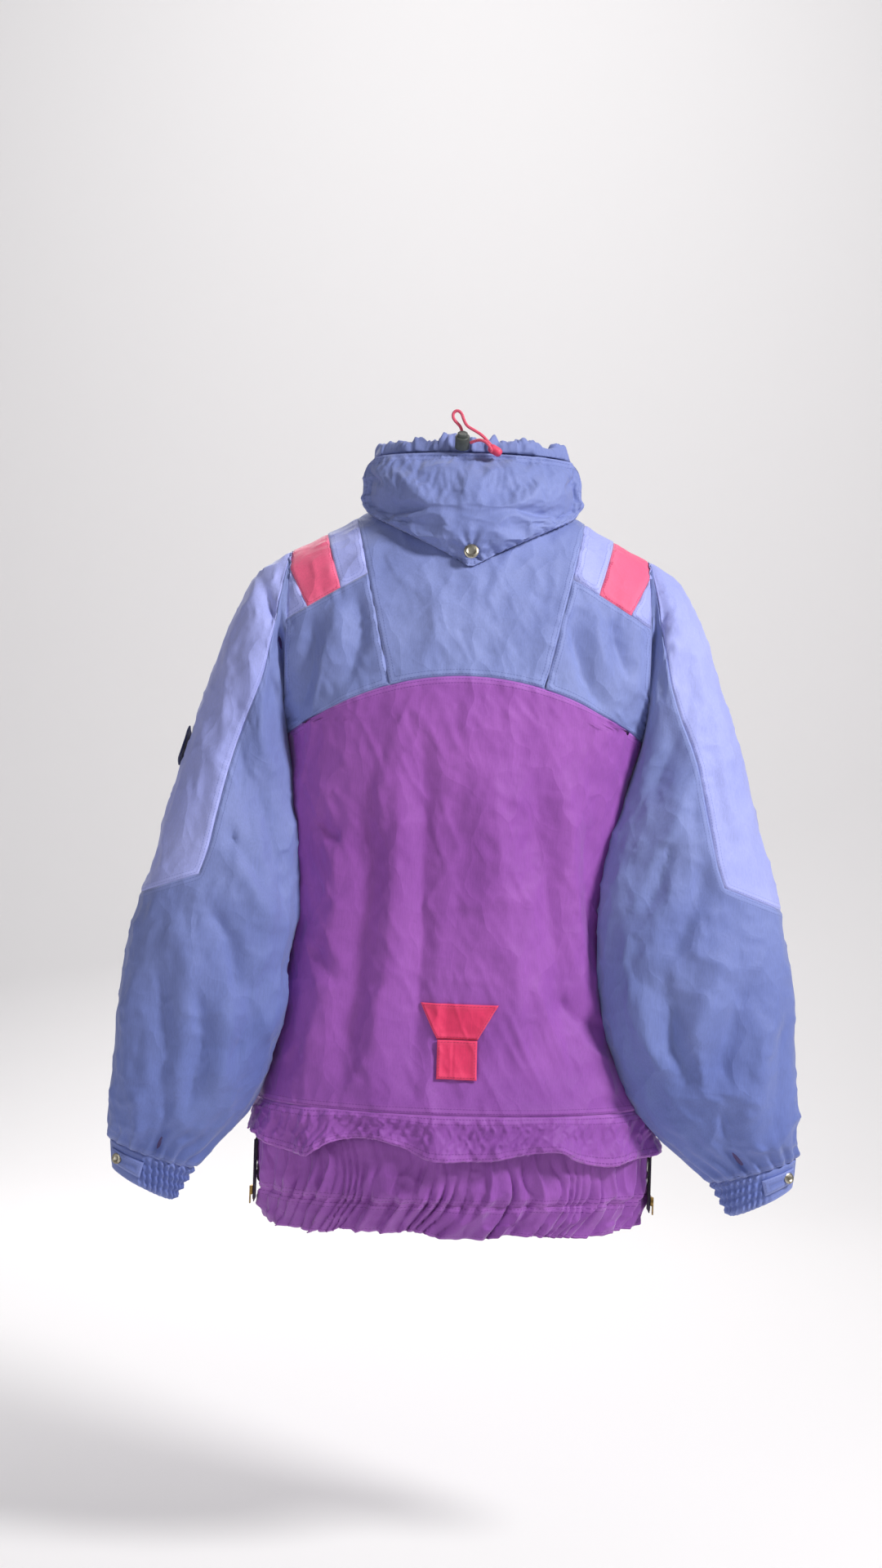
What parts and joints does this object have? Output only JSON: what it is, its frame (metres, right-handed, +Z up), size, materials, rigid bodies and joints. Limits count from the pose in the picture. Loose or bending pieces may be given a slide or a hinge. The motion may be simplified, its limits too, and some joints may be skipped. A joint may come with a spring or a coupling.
{
  "type": "ski jacket",
  "caption": "Padded ski jacket with a stand collar, a stowed hood pouch, set-in sleeves, a gathered hem skirt and zips.",
  "frame": {"origin": "under the bar of the hanging loop, at the centre back of the neck, where a hook bears", "axes": "+Z up as the jacket hangs, the front of the jacket faces -Y, +X is the wearer's left"},
  "size_m": [0.708, 0.2379, 0.8364],
  "materials": {
    "shell_slate": "woven nylon shell fabric, slate blue",
    "shell_periwinkle": "woven nylon shell fabric, periwinkle",
    "shell_purple": "woven nylon shell fabric, purple",
    "shell_coral": "woven nylon shell fabric, coral",
    "lining": "plain woven lining",
    "wadding": "polyester wadding",
    "elastic": "knitted elastic",
    "tape": "woven tape",
    "badge": "plain embroidered patch",
    "cord": "braided cord",
    "brass": "aged brass",
    "nickel": "brushed nickel plate",
    "plastic": "moulded acetal",
    "steel": "spring steel"
  },
  "bodies": {
    "jacket": {"back_panel": "shell_purple", "back_hem_band": "shell_purple", "back_yoke_center": "shell_slate", "back_yoke_left": "shell_slate", "back_yoke_right": "shell_slate", "shoulder_panel_left": "shell_periwinkle", "shoulder_panel_right": "shell_periwinkle", "shoulder_patches": "shell_coral", "front_panel_left": "shell_purple", "front_panel_right": "shell_purple", "torso_wadding": "wadding", "torso_lining": "lining", "tail_patch": "shell_coral", "hem_skirt": "shell_purple", "hem_elastic": "elastic", "side_zips": "brass", "collar_shell": "shell_slate", "collar_padding": "wadding", "drawcord_channel": "shell_slate", "hanging_loop": "tape", "hood_pouch": "shell_slate", "rolled_hood": "shell_slate", "yoke_snap_stud": "nickel", "zip_tapes": "tape", "zip_chain": "brass", "zip_bottom_box": "brass", "draft_flap": "lining", "pocket_welts": "shell_purple", "pocket_zips": "tape", "pocket_bags": "lining", "cord_lock_barrel": "plastic", "cord_lock_spring": "steel", "cord_loop": "cord", "cord_short": "cord", "cord_end": "shell_coral"},
    "left_sleeve": {"sleeve_band_left": "shell_periwinkle", "sleeve_body_left": "shell_slate", "sleeve_lining_left": "lining", "cuff_left": "shell_slate", "sleeve_badge": "badge"},
    "right_sleeve": {"sleeve_band_right": "shell_periwinkle", "sleeve_body_right": "shell_slate", "sleeve_lining_right": "lining", "cuff_right": "shell_slate"},
    "left_cuff_tab": {"cuff_tab_left": "shell_slate", "cuff_snap_left": "nickel"},
    "right_cuff_tab": {"cuff_tab_right": "shell_slate", "cuff_snap_right": "nickel"},
    "hood_closure": {"hood_flap": "shell_slate", "hood_flap_snap": "nickel"},
    "tail_tab_body": {"tail_tab": "shell_coral"},
    "main_slider": {"zip_slider": "brass"},
    "main_pull": {"zip_pull": "brass"},
    "left_pocket_slider": {"pocket_slider_left": "brass"},
    "right_pocket_slider": {"pocket_slider_right": "brass"},
    "left_pocket_pull": {"pocket_pull_left": "brass"},
    "right_pocket_pull": {"pocket_pull_right": "brass"},
    "left_side_slider": {"side_zip_slider_left": "brass"},
    "right_side_slider": {"side_zip_slider_right": "brass"},
    "lock_button": {"cord_lock_button": "plastic"}
  },
  "joints": [
    {"name": "left_sleeve_swing", "type": "hinge", "parent": "jacket", "child": "left_sleeve", "pos_m": [0.1866, 0, -0.054], "axis": [0, -1, 0], "range_deg": [0, 60]},
    {"name": "right_sleeve_swing", "type": "hinge", "parent": "jacket", "child": "right_sleeve", "pos_m": [-0.1866, 0, -0.054], "axis": [0, 1, 0], "range_deg": [0, 60]},
    {"name": "left_cuff_tab_fold", "type": "hinge", "parent": "left_sleeve", "child": "left_cuff_tab", "pos_m": [0.31461, 0.0391, -0.69351], "axis": [-0.3703, 0, 0.9289], "range_deg": [0, 100]},
    {"name": "right_cuff_tab_fold", "type": "hinge", "parent": "right_sleeve", "child": "right_cuff_tab", "pos_m": [-0.31461, 0.0391, -0.69351], "axis": [-0.3703, 0, -0.9289], "range_deg": [0, 100]},
    {"name": "hood_flap_lift", "type": "hinge", "parent": "jacket", "child": "hood_closure", "pos_m": [0, 0.0485, -0.0143], "axis": [1, 0, 0], "range_deg": [0, 80]},
    {"name": "tail_tab_lift", "type": "hinge", "parent": "jacket", "child": "tail_tab_body", "pos_m": [0, 0.0933, -0.5453], "axis": [1, 0, 0], "range_deg": [0, 120]},
    {"name": "main_zip_slide", "type": "slide", "parent": "jacket", "child": "main_slider", "axis": [0, 0.034, 0.9994], "range_m": [-0.668, 0]},
    {"name": "main_pull_swing", "type": "hinge", "parent": "main_slider", "child": "main_pull", "pos_m": [0, -0.11337, 0.03708], "axis": [-1, 0, 0], "range_deg": [0, 165]},
    {"name": "left_pocket_slide", "type": "slide", "parent": "jacket", "child": "left_pocket_slider", "axis": [0.1903, 0.12, -0.9744], "range_m": [0, 0.104]},
    {"name": "right_pocket_slide", "type": "slide", "parent": "jacket", "child": "right_pocket_slider", "axis": [-0.1903, 0.12, -0.9744], "range_m": [0, 0.104]},
    {"name": "left_pocket_pull_swing", "type": "hinge", "parent": "left_pocket_slider", "child": "left_pocket_pull", "pos_m": [0.09979, -0.10991, -0.39849], "axis": [-0.8242, -0.5197, -0.225], "range_deg": [0, 150]},
    {"name": "right_pocket_pull_swing", "type": "hinge", "parent": "right_pocket_slider", "child": "right_pocket_pull", "pos_m": [-0.09979, -0.10991, -0.39849], "axis": [-0.8242, 0.5197, 0.225], "range_deg": [0, 150]},
    {"name": "left_side_zip_slide", "type": "slide", "parent": "jacket", "child": "left_side_slider", "axis": [0, 0, 1], "range_m": [0, 0.044]},
    {"name": "right_side_zip_slide", "type": "slide", "parent": "jacket", "child": "right_side_slider", "axis": [0, 0, 1], "range_m": [0, 0.044]},
    {"name": "lock_button_press", "type": "slide", "parent": "jacket", "child": "lock_button", "axis": [0, 0.6, 0.8], "range_m": [-0.003, 0], "stiffness_N_per_m": 300, "springref_m": 0.01}
  ]
}
